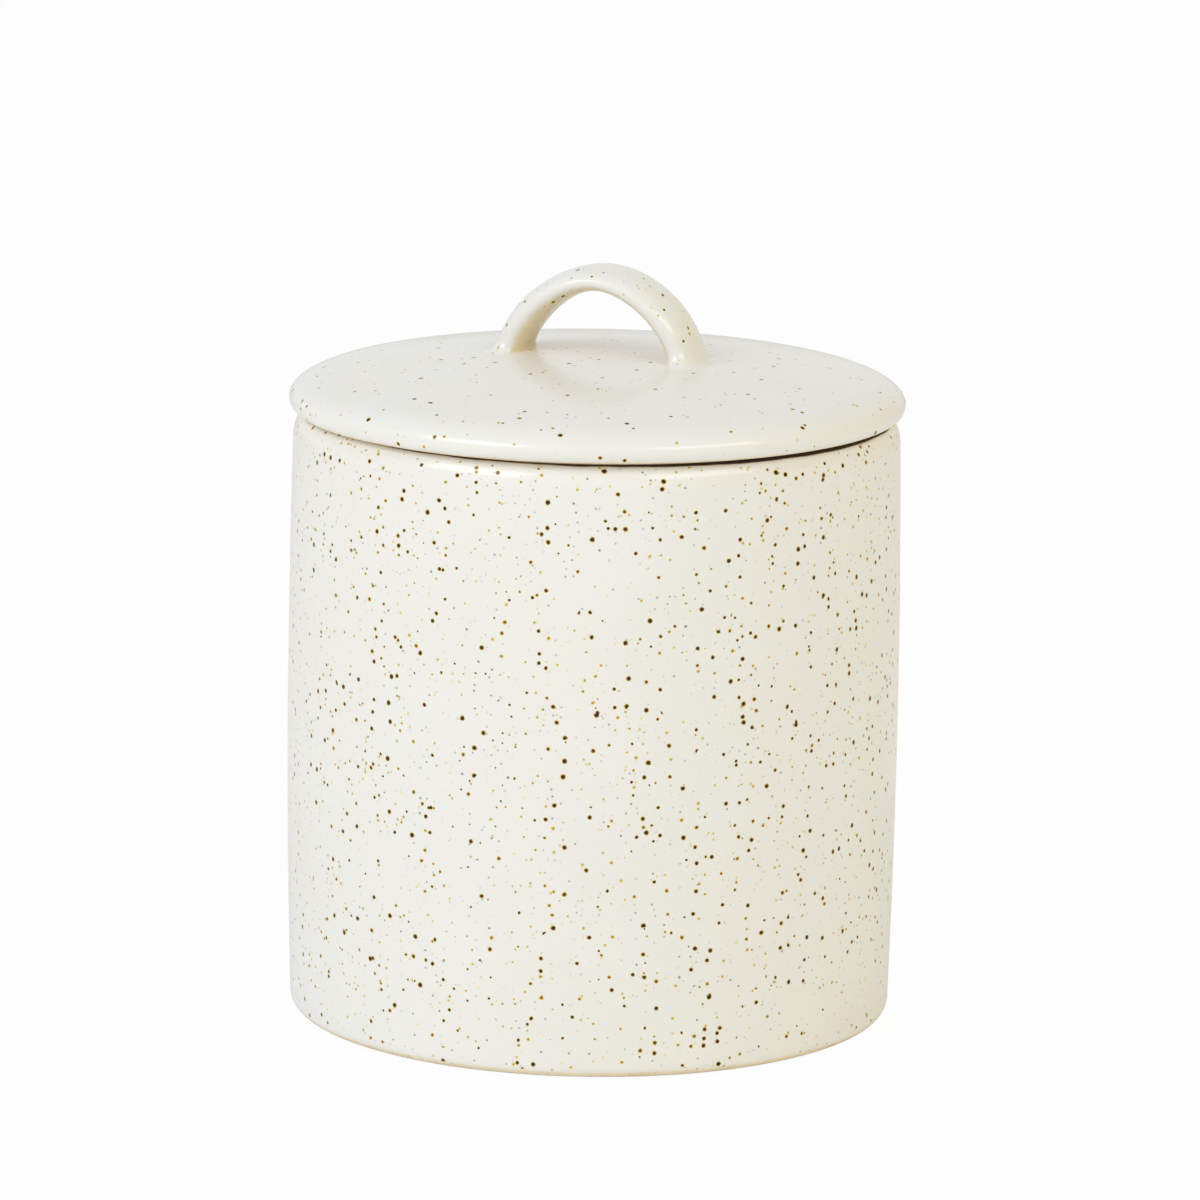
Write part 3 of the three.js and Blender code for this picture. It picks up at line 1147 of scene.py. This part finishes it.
def bearing_vector(bearing: float, elevation: float) -> Vector:
    """Points to a bearing and an elevation in degrees: bearing 0 is before the jar, 90 to its right."""
    turn, lift = math.radians(bearing), math.radians(elevation)
    return Vector((math.sin(turn) * math.cos(lift), -math.cos(turn) * math.cos(lift), math.sin(lift)))


@dataclass(frozen=True)
class SoftBox:
    """A large soft lamp, placed by its bearing from the camera's and its height over the jar."""

    name: str
    bearing: float
    elevation: float
    distance: float
    width: float
    height: float
    power: float

    def hang(self, target: Vector, front: float) -> None:
        """Hangs the lamp so that it faces a target.

        Args:
            target: What it faces.
            front: The camera's bearing.
        """
        data = bpy.data.lights.new(self.name, "AREA")
        data.shape = "RECTANGLE"
        data.size, data.size_y = self.width, self.height
        data.energy = self.power
        lamp = bpy.data.objects.new(self.name, data)
        bpy.context.scene.collection.objects.link(lamp)
        lamp.location = target + bearing_vector(front + self.bearing, self.elevation) * self.distance
        lamp.rotation_euler = (target - lamp.location).to_track_quat("-Z", "Y").to_euler()


@dataclass(frozen=True)
class Viewpoint:
    """Where the photograph was taken from, as fitted to the jar's outlines."""

    bearing: float = 19.77
    elevation: float = 14.867
    distance: float = 1.476
    aim_height: float = 82.3 * MM
    aim_aside: float = 1.1 * MM
    roll: float = 0.853
    lens: float = 219.7
    sensor: float = 36.0

    def right(self) -> Vector:
        """Points to the right of the picture."""
        return bearing_vector(self.bearing + 90, 0)

    def set_up(self) -> None:
        """Makes the camera and gives it to the scene."""
        data = bpy.data.cameras.new("studio_camera")
        data.sensor_width = self.sensor
        data.lens = self.lens
        camera = bpy.data.objects.new("studio_camera", data)
        bpy.context.scene.collection.objects.link(camera)
        camera.location = bearing_vector(self.bearing, self.elevation) * self.distance
        aim = Vector((0, 0, self.aim_height)) + self.right() * self.aim_aside
        facing = (aim - camera.location).to_track_quat("-Z", "Y")
        camera.rotation_mode = "QUATERNION"
        camera.rotation_quaternion = facing @ Quaternion((0, 0, 1), math.radians(self.roll))
        bpy.context.scene.camera = camera


@dataclass(frozen=True)
class Studio:
    """The white sweep and its soft light."""

    viewpoint: Viewpoint
    floor_reach: float = 6.0
    floor_colour: Colour = (0.95, 0.95, 0.945)
    floor_whitening: float = 0.95
    room: Colour = (0.84, 0.84, 0.835)
    ceiling: Colour = (0.52, 0.535, 0.6)
    ceiling_from: float = 0.1
    warm_side: Colour = (0.75, 0.64, 0.31)
    warm_from: float = 0.15
    lamps: tuple[SoftBox, ...] = (
        SoftBox("key_lamp", bearing=-51.0, elevation=38.0, distance=1.3, width=0.8, height=0.4, power=4.75),
        SoftBox("fill_lamp", bearing=45.0, elevation=41.0, distance=1.3, width=0.85, height=0.35, power=3.0))

    def seen_directly(self, bench: Bench) -> Socket:
        """Gives 1 for rays straight from the camera, and 0 for the rays that light the jar."""
        return bench.put("ShaderNodeLightPath").outputs["Is Camera Ray"]

    def lay_floor(self) -> None:
        """Lays the pale floor, which whitens towards the eye and keeps a faint shadow."""
        bpy.ops.object.select_all(action="DESELECT")
        bpy.ops.mesh.primitive_plane_add(size=2 * self.floor_reach)
        floor = bpy.context.object
        floor.name = floor.data.name = "studio_floor"
        material, bench = start_material("white_floor")
        matt = bench.put("ShaderNodeBsdfDiffuse", feeds={"Color": opaque(self.floor_colour)}).outputs["BSDF"]
        glow = {"Color": opaque(WHITE), "Strength": 1.0}
        white = bench.put("ShaderNodeEmission", feeds=glow).outputs["Emission"]
        share = bench.maths("MULTIPLY", self.seen_directly(bench), self.floor_whitening)
        surface = bench.put("ShaderNodeMixShader", feeds={0: share, 1: matt, 2: white}).outputs["Shader"]
        bench.put("ShaderNodeOutputMaterial", feeds={"Surface": surface})
        floor.data.materials.append(material)

    def light_room(self) -> None:
        """Lights the room all round: white to the eye, dimmer from the ceiling and warmer from the right."""
        world = bpy.data.worlds.new("studio_room")
        bpy.context.scene.world = world
        world.use_nodes = True
        world.node_tree.nodes.clear()
        bench = Bench(world.node_tree)
        direction = bench.put("ShaderNodeTexCoord").outputs["Generated"]
        side = bench.vector("DOT_PRODUCT", direction, tuple(self.viewpoint.right()))
        up = bench.put("ShaderNodeSeparateXYZ", feeds={"Vector": direction}).outputs["Z"]
        colour = bench.blend("MIX", bench.soft_span(up, self.ceiling_from, 1.0), self.room, self.ceiling)
        colour = bench.blend("MIX", bench.soft_span(side, self.warm_from, 1.0), colour, self.warm_side)
        colour = bench.blend("MIX", self.seen_directly(bench), colour, WHITE)
        sky = bench.put("ShaderNodeBackground", feeds={"Color": colour, "Strength": 1.0}).outputs["Background"]
        bench.put("ShaderNodeOutputWorld", feeds={"Surface": sky})

    def set_up(self, target: Vector) -> None:
        """Makes the floor, the room's light, the lamps and the camera.

        Args:
            target: What the lamps face.
        """
        self.lay_floor()
        self.light_room()
        for lamp in self.lamps:
            lamp.hang(target, self.viewpoint.bearing)
        self.viewpoint.set_up()
        bpy.context.scene.view_settings.view_transform = "Standard"


def main() -> None:
    """Builds the jar piece by piece, then the studio round it."""
    logging.basicConfig(level=logging.INFO, format="%(message)s")
    body_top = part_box(Node.BODY.value)[1]
    lid_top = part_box(Node.LID.value)[1]
    wheel = Wheel()
    kiln = Kiln(SatinGlaze(), BareClay())
    body = JarBody(height=body_top.z)
    lid = Lid(seat=body_top.z, radius=lid_top.x)
    handle = StrapHandle(lid=lid)
    for maker in (body, lid, handle):
        piece = maker.build(wheel, kiln)
        logging.info("built %s", piece.name)
    Studio(viewpoint=Viewpoint()).set_up(target=Vector((0, 0, body_top.z / 2)))


if __name__ == "__main__":
    main()
